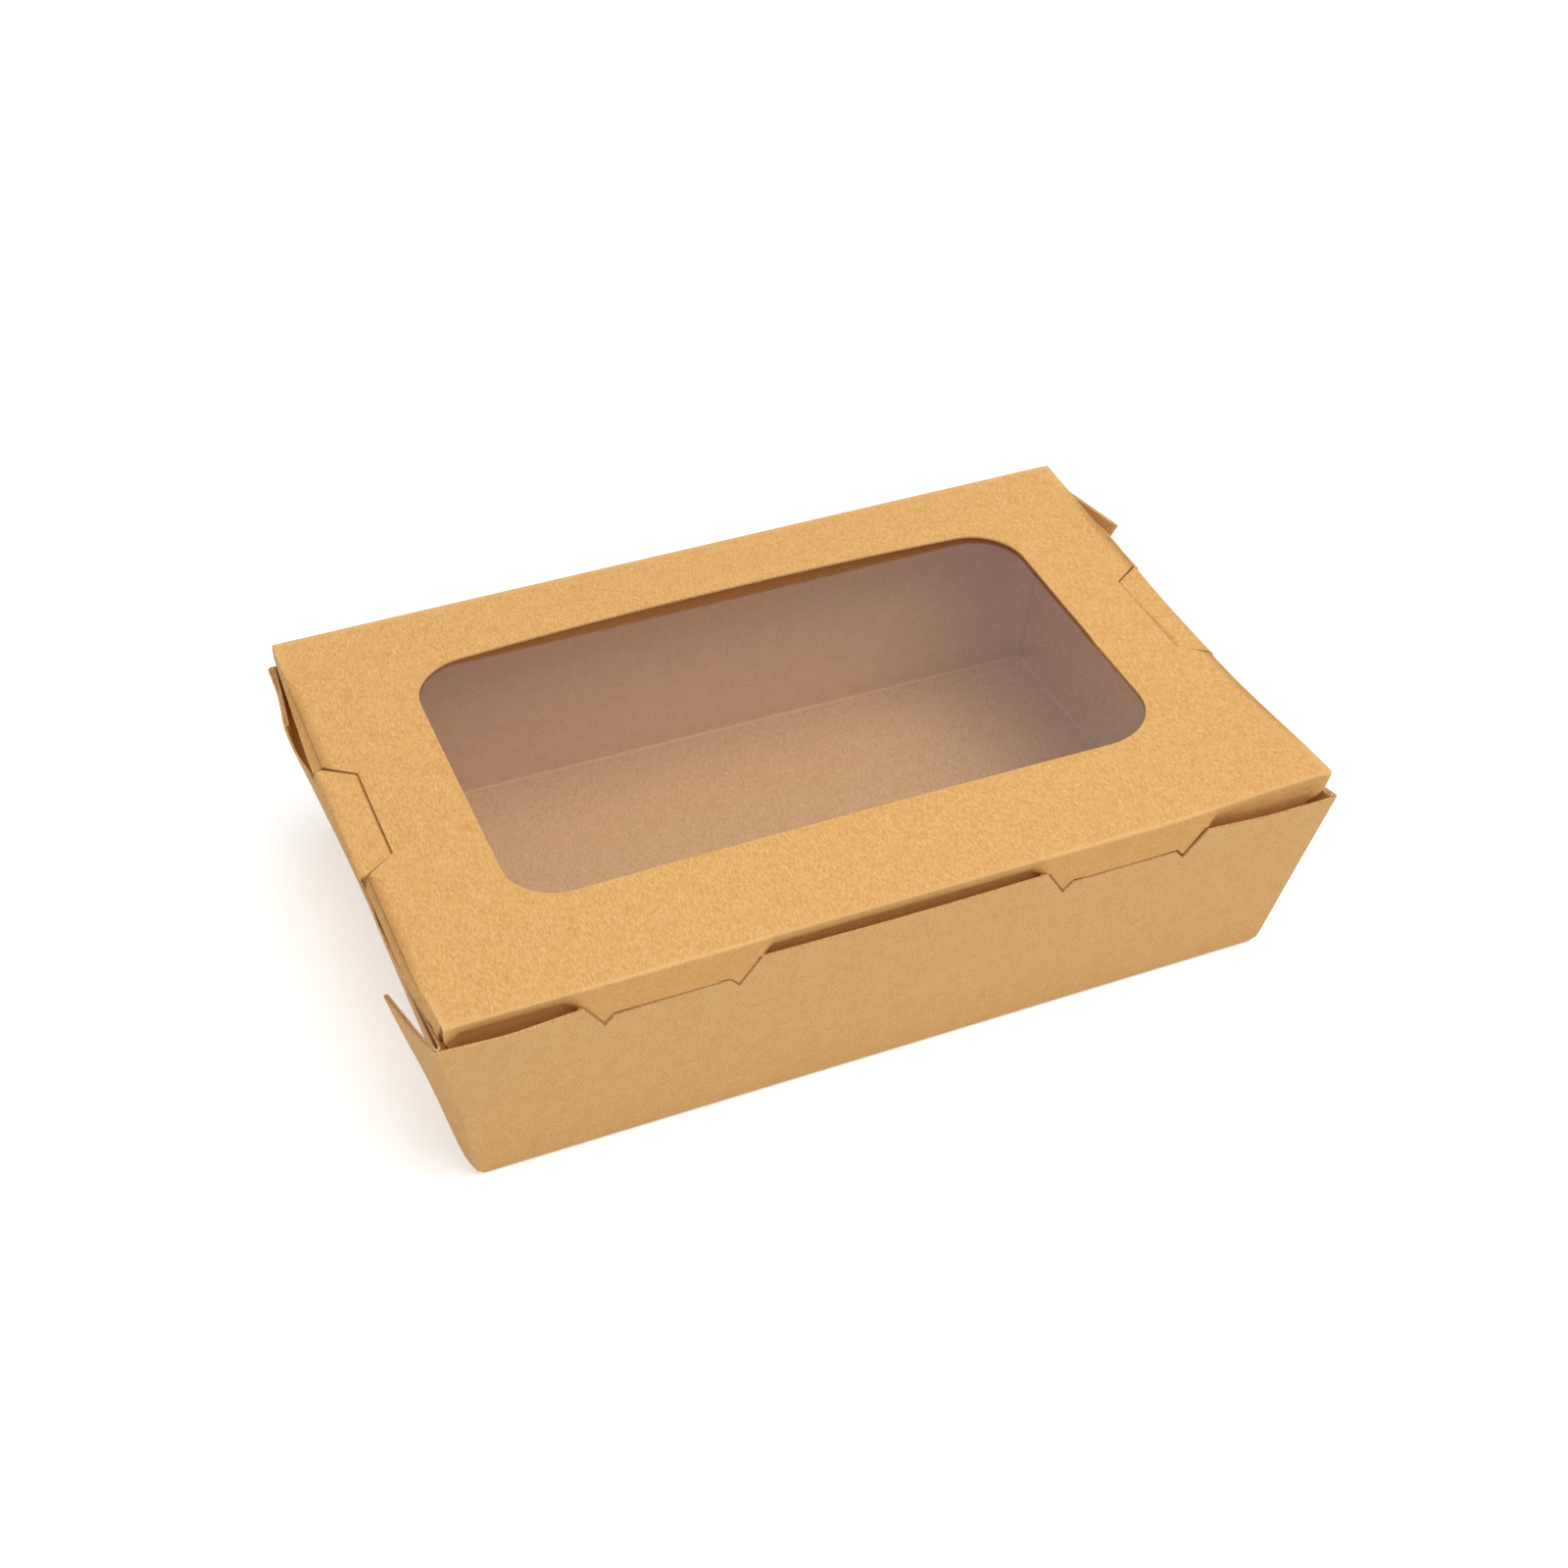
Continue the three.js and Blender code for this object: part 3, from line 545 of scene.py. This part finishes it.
shelf = NOTCH[2][1]
tongue_path = rounded(
    [(-(LID_Y - START), LID_HEIGHT), (-LID_Y, LID_HEIGHT), on_wall(shelf - 0.35, 0),
     on_wall(shelf - 0.02, 0.42), on_wall(TONGUE_TIP, behind + RIM_GAP)], (CREASE_RADIUS, 0.15, 0.3), 8,
)
corner_path = rounded(
    [(-(LID_Y - START), LID_HEIGHT), (-LID_Y, LID_HEIGHT), on_wall(0, 0.5), on_wall(LIP_DEPTH - 5, 1.2)],
    CREASE_RADIUS, 8,
)
hook_path = rounded(
    [(-(LID_Y - START), LID_HEIGHT), (-LID_Y, LID_HEIGHT), on_wall(TONGUE_TIP, 0)], CREASE_RADIUS, 8,
)
# the end lips, from the panel over their crease and down: square at the corners, splayed beside the locks
side_low = half_length(lip_low) - BOARD - 2 * RIM_GAP
square_path, back_side_path, front_side_path = (
    rounded([(LID_X - START, LID_HEIGHT), *path, (side_low - 1.2, lip_low)], (0.6, 0.3, 0.9), 8)
    for path in (
        ((LID_X - 0.1, LID_HEIGHT), (LID_X - 0.2, LID_HEIGHT - 3), (LID_X - 1.5, RIM_HEIGHT - 1)),
        ((LID_X - 0.2, LID_HEIGHT), (LID_X + 1.6, LID_HEIGHT - 1.6), (LID_X - 1.6, RIM_HEIGHT - 1)),
        ((LID_X - 0.4, LID_HEIGHT), (LID_X + 0.9, LID_HEIGHT - 3.8), (LID_X - 0.3, RIM_HEIGHT - 1)),
    )
)
back_path = rounded(
    [(LID_Y - START, LID_HEIGHT), (LID_Y, LID_HEIGHT), (half_depth(47.25), 47.25)], BACK_RADIUS, 8,
)


def reach(path, z):
    """How far along the path it comes down to a height."""
    far = lengths(path)
    return float(np.interp(-z, -path[:, 1][far > START / 2], far[far > START / 2]))


front_start, side_start = -(LID_Y - START), LID_X - START
lip_rim, lip_end = reach(lip_path, RIM_HEIGHT), lengths(lip_path)[-1]
wall_rim = reach(hook_path, RIM_HEIGHT)
side_end = min(lengths(path)[-1] for path in (square_path, back_side_path, front_side_path))
side_crease = side_start + START - 0.35
slit = LID_X - SLIT_INSET

# the blank laid flat: its outline, from the back left corner round by the front
half_panel = LID_X - 0.3


def inset(points, distance):
    """An open outline moved to its left, by a distance at every side."""
    pts = np.array(points, float)
    way = np.diff(pts, axis=0)
    way /= np.linalg.norm(way, axis=1)[:, None]
    left = np.stack([-way[:, 1], way[:, 0]], -1)
    both = [left[0], *[(m + n) / (1 + m @ n) for m, n in zip(left, left[1:])], left[-1]]
    return pts + distance * np.array(both)


def lock_outline(centre):
    """The lip's lower edge across one lock, with the tongue between two slits."""
    _, hook, heel, _ = inset([(x, -down) for x, down in NOTCH[:4]], SLIT_WIDTH)
    points = [(-17.45, -lip_end), (-17.35, -lip_rim), (-17.2 + 1.15 * SLIT_WIDTH, -wall_rim)]
    points += [(hook[0], hook[1] - wall_rim), (heel[0], heel[1] - wall_rim)]
    points += [(-10.7, -(wall_rim + shelf + 0.2)), (-10.6, -(wall_rim + TONGUE_TIP - 1))]
    points.append((-9.6, -(wall_rim + TONGUE_TIP)))
    return [(centre + x, y) for x, y in [*points, *[(-x, y) for x, y in points[::-1]]]]


near = SIDE_LOCK + RIM_GAP
far_end = LID_Y - CORNER_GAP
front = [(-half_panel, 0.0), (-half_panel + 0.4, -lip_rim), (-half_panel + LIP_TAPER, -lip_end)]
for centre in FRONT_LOCKS:
    front += lock_outline(centre)
front += [(half_panel - LIP_TAPER, -lip_end), (half_panel - 0.4, -lip_rim), (half_panel, 0.0)]
front = [(x, front_start + y) for x, y in front]


def panel_end(side):
    """The panel's left (-1) or right (1) edge from front to back, with its lip, cut out for the tongue."""
    middle, lip = SIDE_MIDDLE[side], side_start + side_end
    behind_lock = middle + near + (LOCK_GAP if side < 0 else 0.0)
    points = [
        (half_panel, -far_end - 0.6), (side_crease, -far_end), (lip, -(far_end - LIP_TAPER)),
        (lip, middle - near - LIP_TAPER / 2), (side_crease + 0.8, middle - near), (side_crease, middle - near),
        (slit, middle - SIDE_SLIT - RIM_GAP), (slit, middle + SIDE_SLIT + RIM_GAP),
        (side_crease, behind_lock), (side_crease + 0.8, behind_lock), (lip, middle + near + LIP_TAPER),
        (lip, far_end - LIP_TAPER), (side_crease, far_end + 0.7), (half_panel, far_end + 0.8),
    ]
    return [(side * x, y) for x, y in points]


back_edge = LID_Y - START + lengths(back_path)[-1]
back = [(half_panel, back_edge), (-half_panel, back_edge)]
outline = [*front, *panel_end(1), *back, *panel_end(-1)[::-1]]


def window_loop(margin):
    """The window's rounded outline, or one that lies a margin outside it."""
    points = []
    for quarter, (sx, sy) in enumerate(((1, 1), (-1, 1), (-1, -1), (1, -1))):
        radius = WINDOW_WIDE_RADIUS if (sx, sy) == (1, -1) else WINDOW_RADIUS
        for a in np.linspace(0, math.pi / 2, 13) + quarter * math.pi / 2:
            points.append((
                WINDOW_X + sx * (WINDOW_LENGTH / 2 - radius) + (radius + margin) * math.cos(a),
                WINDOW_Y + sy * (WINDOW_DEPTH / 2 - radius) + (radius + margin) * math.sin(a),
            ))
    return points


window = window_loop(0)


def crossed(loop, xs, ys):
    """A closed outline with a point wherever it crosses a line of the grid."""
    made = []
    for p, q in zip(loop, [*loop[1:], loop[0]]):
        p, q = np.array(p, float), np.array(q, float)
        shares = [0.0]
        for k, lines in ((0, xs), (1, ys)):
            if abs(q[k] - p[k]) > 1e-6:
                shares += [t for t in (np.asarray(lines) - p[k]) / (q[k] - p[k]) if 0.01 < t < 0.99]
        shares = sorted(shares)
        length = np.linalg.norm(q - p)
        kept = [0.0]
        for t in shares[1:]:
            if (t - kept[-1]) * length > 0.12 and (1 - t) * length > 0.12:
                kept.append(t)
        made += [tuple(p + (q - p) * t) for t in kept]
    return made


def distance_to(loops, spots):
    """How far each spot lies from the nearest edge of the outlines."""
    nearest = np.full(len(spots), 1e9)
    for loop in loops:
        pts = np.array(loop)
        for a, b in zip(pts, np.roll(pts, -1, axis=0)):
            way = b - a
            t = np.clip(((spots - a) @ way) / max(way @ way, 1e-12), 0, 1)
            nearest = np.minimum(nearest, np.linalg.norm(spots - a - t[:, None] * way, axis=1))
    return nearest


def clean_lines(values, least=0.1):
    made = []
    for v in sorted(values):
        if not made or v - made[-1] > least:
            made.append(v)
    return made


beside_lock = (11.0, 12, 13, 14, 15, 16, 17.4, 18.5, 20, 22)
lock_lines = [c + s * x for c in FRONT_LOCKS for s in (-1, 1) for x in beside_lock]
x_lines = clean_lines([
    *np.linspace(-side_start, side_start, 61), *(side_start + lengths(back_side_path)),
    *(-side_start - lengths(back_side_path)), *lock_lines, *[s * x for s in (-1, 1) for x in (86.0, 86.6)],
])
y_lines = clean_lines([
    *np.linspace(front_start, LID_Y - START, 41), *(front_start - lengths(lip_path)),
    *(front_start - lengths(tongue_path)), *(LID_Y - START + lengths(back_path)),
    *np.linspace(front_start - lip_end, front_start - START - 1, 9),
])
loops = [crossed(loop, x_lines, y_lines) for loop in (outline, window, window_loop(0.6))]
inner_grid = np.array([(x, y) for x in x_lines for y in y_lines])
inner_grid = inner_grid[distance_to(loops, inner_grid) > 0.09]
flat, edges = [], []
for loop in loops:
    start = len(flat)
    flat += loop
    edges += [(start + k, start + (k + 1) % len(loop)) for k in range(len(loop))]
flat += [tuple(p) for p in inner_grid]
spots, _, triangles, *_ = delaunay_2d_cdt([Vector(p) for p in flat], edges, [], 2, 1e-5)
spots = np.array([tuple(p) for p in spots])


def past_window(x, y):
    """How far a place lies outside the window's edge, less than nothing inside it."""
    wide = (np.asarray(x) > WINDOW_X) & (np.asarray(y) < WINDOW_Y)
    radius = np.where(wide, WINDOW_WIDE_RADIUS, WINDOW_RADIUS)
    dx = np.abs(x - WINDOW_X) - (WINDOW_LENGTH / 2 - radius)
    dy = np.abs(y - WINDOW_Y) - (WINDOW_DEPTH / 2 - radius)
    return np.hypot(np.maximum(dx, 0), np.maximum(dy, 0)) + np.minimum(np.maximum(dx, dy), 0) - radius


panel = [tuple(t) for t in triangles if past_window(*spots[list(t)].mean(0)) > 0]


def rise(x, y):
    """The board behind the window stands up a little at the window's edge."""
    behind_window = smooth((LID_Y - y) / (LID_Y - WINDOW_Y - WINDOW_DEPTH / 2)) * (np.asarray(y) > 0)
    return BOARD_RISE * behind_window * np.clip(1 - ((x - 6) / 70) ** 2, 0, 1)


def lid_height(x, y):
    """The panel's top side: sunk at the ends, up at the window's back edge and at the front right corner."""
    corner_lift = CORNER_LIFT * smooth((x - 50) / 38) * smooth((-y - 20) / 38)
    return LID_HEIGHT - lid_drop(x, y) + rise(x, y) + corner_lift


def folded(spots):
    """Where each point of the flat blank lies once the lid is folded and has sunk a little."""
    x, y = spots[:, 0].copy(), spots[:, 1].copy()
    z = np.full(len(spots), LID_HEIGHT)
    s = np.maximum(front_start - y, 0)
    nearest = np.min([np.abs(x - c) for c in FRONT_LOCKS], axis=0)
    flush = smooth(1 - (nearest - 16.9) / 3)
    flush[(s > lip_rim + 0.05) & (nearest > 17.3)] = 0
    tip = np.where(nearest < 11.3, 1.0, 0.0)[:, None]
    tongue = tip * along(tongue_path, s) + (1 - tip) * along(hook_path, s)
    lip = along(lip_path, s)
    lock = (1 - flush)[:, None] * lip + flush[:, None] * tongue
    at_corner = smooth((np.abs(x) - 86.2) / 2.2)[:, None]
    lock = (1 - at_corner) * lock + at_corner * along(corner_path, s)
    at_front, at_back = y < front_start, y > LID_Y - START
    y = np.where(at_front, lock[:, 0], y)
    z = np.where(at_front, lock[:, 1], z)
    hinge = along(back_path, spots[:, 1] - (LID_Y - START))
    y = np.where(at_back, hinge[:, 0], y)
    z = np.where(at_back, hinge[:, 1], z)
    out = np.abs(x) - side_start
    place = spots[:, 1]
    splay_back = np.clip((LID_Y - place) / 36, 0, 1) * (place > 0)
    splay_front = (1 - 0.4 * smooth((-place - 50) / 9)) * (place <= 0)
    square = 1 - splay_back - splay_front
    shares = ((square, square_path), (splay_back, back_side_path), (splay_front, front_side_path))
    side = sum(share[:, None] * along(path, out) for share, path in shares)
    dip = np.where(at_front, 1 - smooth((s - 1) / 2), 1)
    z = z + np.where(out > 0, dip * (side[:, 1] - LID_HEIGHT), 0)
    x = np.where(out > 0, np.sign(x) * side[:, 0], x)
    z = z + lid_height(x, y) - LID_HEIGHT
    drawn = LID_DRAWN_IN * smooth((-x - 70) / 18) * smooth((-y - 44) / 14)
    return np.stack([x + drawn, y, z], -1)


def painted_crease_shading(spots):
    """How much painted light each point of the flat blank takes: 1 for a painted highlight on a crease, below 0 for
    painted shade along a score line.
    """
    # a painted highlight along the front, back and end creases
    score = np.abs(front_start - START + 0.25 - spots[:, 1])
    score = np.minimum(score, np.abs(LID_Y - 0.2 - spots[:, 1]))
    from_end = np.abs(np.abs(spots[:, 0]) - LID_X + 0.3)
    score = np.where(np.abs(spots[:, 0]) < side_start + 0.3, score, np.minimum(score, from_end))
    # a painted highlight just round the window's cut edge
    window_edge_highlight = 0.6 * np.clip(1 - np.abs(past_window(*spots.T)) / 0.5, 0, 1)
    pale = np.maximum(np.clip(1 - score / 0.7, 0, 1), window_edge_highlight)
    # painted shade along a score line just in from each end of the lid, fading out towards the corners
    away_from_corner = smooth((LID_Y - 6 - np.abs(spots[:, 1])) / 16)
    deep = away_from_corner * np.clip(1 - np.abs(np.abs(spots[:, 0]) - LID_X + 0.25) / 0.4, 0, 1)
    return np.where(deep > 0.05, -deep, pale)


lid = board_mesh("lid_board", folded(spots), panel, painted_crease_shading(spots), -1.0, True, [kraft_warm_lit, kraft_edge])
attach(lid, "lid")
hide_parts("lid")

# Window film
# The real piece: a sheet of clear film, glued to the board round the window on the lid's inner side.
# It is stiff and smooth, so it mirrors the room a little and greys what lies behind it.
FILM_MARGIN, FILM_THICKNESS, FILM_SLACK, FILM_GAP = 6.0, 0.12, 0.5, 0.04
# the share of the board's curl that the film follows
FILM_FOLLOWS = 0.3

film_x, film_y = WINDOW_LENGTH / 2 + FILM_MARGIN, WINDOW_DEPTH / 2 + FILM_MARGIN


def film_height(x, y):
    """The film is held flat at its glued margin and hangs slack inside the window."""
    held = LID_HEIGHT - lid_drop(x, y) + FILM_FOLLOWS * rise(x, y) - BOARD - FILM_GAP
    return float(held - FILM_SLACK * smooth((-past_window(x, y) - 0.5) / 12))


def film_places(centre, half):
    edge = np.concatenate([np.linspace(0, 5.6, 5), np.arange(5.9, 8.5, 0.25)])
    return centre + np.concatenate([-half + edge, np.linspace(-half + 9, half - 9, 41), half - edge[::-1]])


clear = bpy.data.materials.new("clear window film")
clear.use_nodes = True
tree = clear.node_tree
tree.nodes.clear()
gloss = add(tree, "ShaderNodeBsdfGlossy", {"Color": linear("#f4f6f8"), "Roughness": 0.1})
through = add(tree, "ShaderNodeBsdfTransparent", {"Color": linear("#fcfbf9")})
# each of its two sides mirrors a twenty-fifth of the light from straight ahead, and more of what grazes it
slant = add(tree, "ShaderNodeLayerWeight", {"Blend": 0.5})
grazing = add(tree, "ShaderNodeMath", {"operation": "POWER", 1: 5.0}, i0=slant.outputs["Facing"])
share = add(tree, "ShaderNodeMapRange", {"To Min": 0.04, "To Max": 0.9}, Value=grazing.outputs[0])
mixed = add(
    tree, "ShaderNodeMixShader", None, i0=share.outputs[0], i1=through.outputs[0], i2=gloss.outputs[0],
)
# a faint haze
milk = add(tree, "ShaderNodeBsdfDiffuse", {"Color": linear("#eef0f0")})
milky = add(tree, "ShaderNodeMixShader", {0: 0.012}, i1=mixed.outputs[0], i2=milk.outputs[0])
output = add(tree, "ShaderNodeOutputMaterial")
tree.links.new(milky.outputs[0], output.inputs[0])
pane = Sheet()
pane.grid([
    [(x, y, film_height(x, y)) for y in film_places(WINDOW_Y, film_y)] for x in film_places(WINDOW_X, film_x)
])
uncreased = [0.0] * len(pane.points)
film = board_mesh(
    "film", pane.points, pane.faces, uncreased, -1.0, False, [clear, clear], thickness=FILM_THICKNESS,
)
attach(film, "lid")
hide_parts("window_film")

# Studio
# The box stands on a plain white floor under a white sky, with one large soft lamp above and to the right.
floor_mesh = bpy.data.meshes.new("floor")
reach_out = 4.0
floor_mesh.from_pydata(
    [(-reach_out, -reach_out, -0.0002), (reach_out, -reach_out, -0.0002), (reach_out, reach_out, -0.0002),
     (-reach_out, reach_out, -0.0002)], [], [(0, 1, 2, 3)],
)
floor = bpy.data.objects.new("floor", floor_mesh)
bpy.context.scene.collection.objects.link(floor)
white = bpy.data.materials.new("matt white floor")
white.use_nodes = True
tree = white.node_tree
tree.nodes.clear()
matt = add(tree, "ShaderNodeBsdfDiffuse", {"Color": linear("#f4f4f4")})
rays = add(tree, "ShaderNodeLightPath")
glow = add(tree, "ShaderNodeEmission", {"Color": (1, 1, 1, 1), "Strength": 0.44})
dark = add(tree, "ShaderNodeEmission", {"Color": (0, 0, 0, 1), "Strength": 0.0})
seen = add(
    tree, "ShaderNodeMixShader", None, i0=rays.outputs["Is Camera Ray"], i1=dark.outputs[0],
    i2=glow.outputs[0],
)
both = add(tree, "ShaderNodeAddShader", None, i0=matt.outputs[0], i1=seen.outputs[0])
output = add(tree, "ShaderNodeOutputMaterial")
tree.links.new(both.outputs[0], output.inputs[0])
floor_mesh.materials.append(white)

world = bpy.data.worlds.new("studio")
bpy.context.scene.world = world
world.use_nodes = True
tree = world.node_tree
tree.nodes.clear()
rays = add(tree, "ShaderNodeLightPath")
mirrored = add(
    tree, "ShaderNodeMath", {"operation": "MAXIMUM"}, i0=rays.outputs["Is Camera Ray"],
    i1=rays.outputs["Is Glossy Ray"],
)
seen = add(
    tree, "ShaderNodeMath", {"operation": "MAXIMUM"}, i0=mirrored.outputs[0],
    i1=rays.outputs["Is Transmission Ray"],
)
level = add(tree, "ShaderNodeMapRange", {"To Min": 0.53, "To Max": 1.0}, Value=seen.outputs[0])
sky = add(tree, "ShaderNodeBackground", {"Color": (1, 1, 1, 1)}, Strength=level.outputs[0])
output = add(tree, "ShaderNodeOutputWorld")
tree.links.new(sky.outputs[0], output.inputs[0])

lamp_data = bpy.data.lights.new("soft lamp", "AREA")
lamp_data.shape = "DISK"
lamp_data.size = 1.1
lamp_data.energy = 8.7
lamp = bpy.data.objects.new("soft lamp", lamp_data)
lamp.location = (0.25, -0.35, 1.15)
lamp.rotation_euler = (Vector((0, 0, 0)) - lamp.location).to_track_quat("-Z", "Y").to_euler()
bpy.context.scene.collection.objects.link(lamp)

camera_data = bpy.data.cameras.new("camera")
camera_data.lens = 56.65
camera_data.sensor_width = 36
camera = bpy.data.objects.new("camera", camera_data)
camera.location = (-0.1482, -0.3583, 0.3526)
target = Vector((0.00258, 0.00646, 0.0225))
camera.rotation_euler = (target - camera.location).to_track_quat("-Z", "Y").to_euler()
bpy.context.scene.collection.objects.link(camera)
bpy.context.scene.camera = camera
bpy.context.scene.view_settings.view_transform = "Standard"
